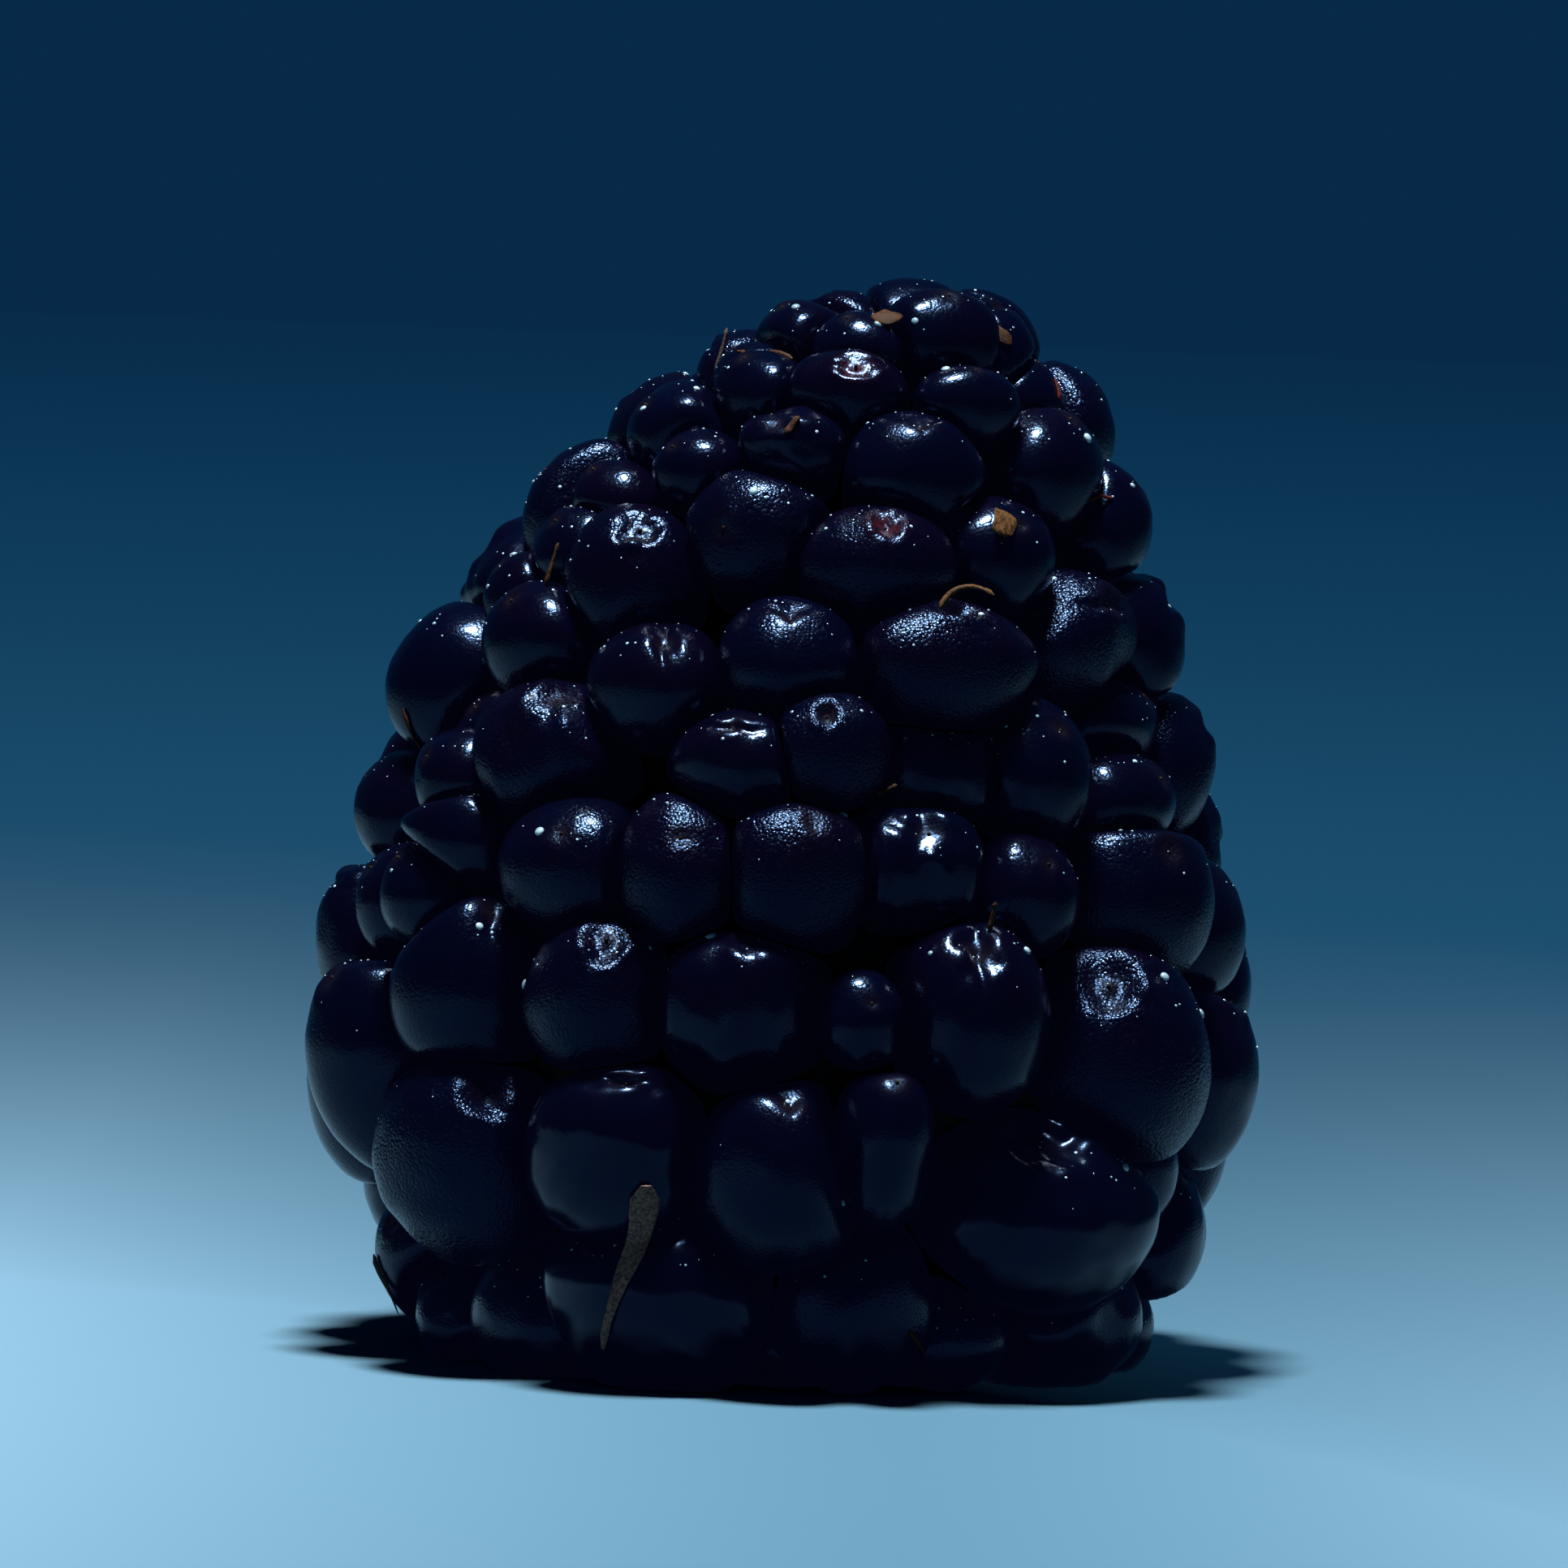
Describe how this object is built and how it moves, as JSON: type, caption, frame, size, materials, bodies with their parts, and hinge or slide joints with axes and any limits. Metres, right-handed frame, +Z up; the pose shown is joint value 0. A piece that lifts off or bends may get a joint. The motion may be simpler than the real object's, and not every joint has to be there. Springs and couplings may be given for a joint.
{
  "type": "bramble berry",
  "caption": "Ripe bramble berry standing on its picked end: a cone of glossy near-black drupelets grown together, with dried brown styles left on them. A fruit to eat or to dress a scene.",
  "frame": {"origin": "middle of the level underside that the berry rests on, in the scar of its plug", "axes": "+Z up through the berry towards its tip, -Y towards the viewer, +X to the viewer's right, where the tip leans"},
  "size_m": [0.0236, 0.0242, 0.0267],
  "materials": {
    "ripe_skin": "wet gloss with fine grain",
    "dried_style": "dry and fibrous"
  },
  "bodies": {
    "root": {"berry": "ripe_skin", "withered_filament": "dried_style", "dried_style_curled": "dried_style", "dried_style_flake": "dried_style", "dried_style_side_hair": "dried_style", "dried_style_side_stub": "dried_style", "dried_style_shoulder": "dried_style", "dried_style_pale": "dried_style", "dried_style_neck": "dried_style", "dried_style_tip_left": "dried_style", "dried_style_tip_right": "dried_style", "dried_style_tip_side": "dried_style", "dried_style_front_dot": "dried_style", "dried_style_arc": "dried_style", "dried_style_hollow": "dried_style", "dried_style_waist": "dried_style", "dried_style_foot": "dried_style", "dried_style_foot_strip": "dried_style", "dried_style_rear_1": "dried_style", "dried_style_rear_2": "dried_style", "dried_style_rear_3": "dried_style", "dried_style_rear_4": "dried_style", "dried_style_rear_5": "dried_style", "dried_style_rear_6": "dried_style"}
  },
  "joints": []
}
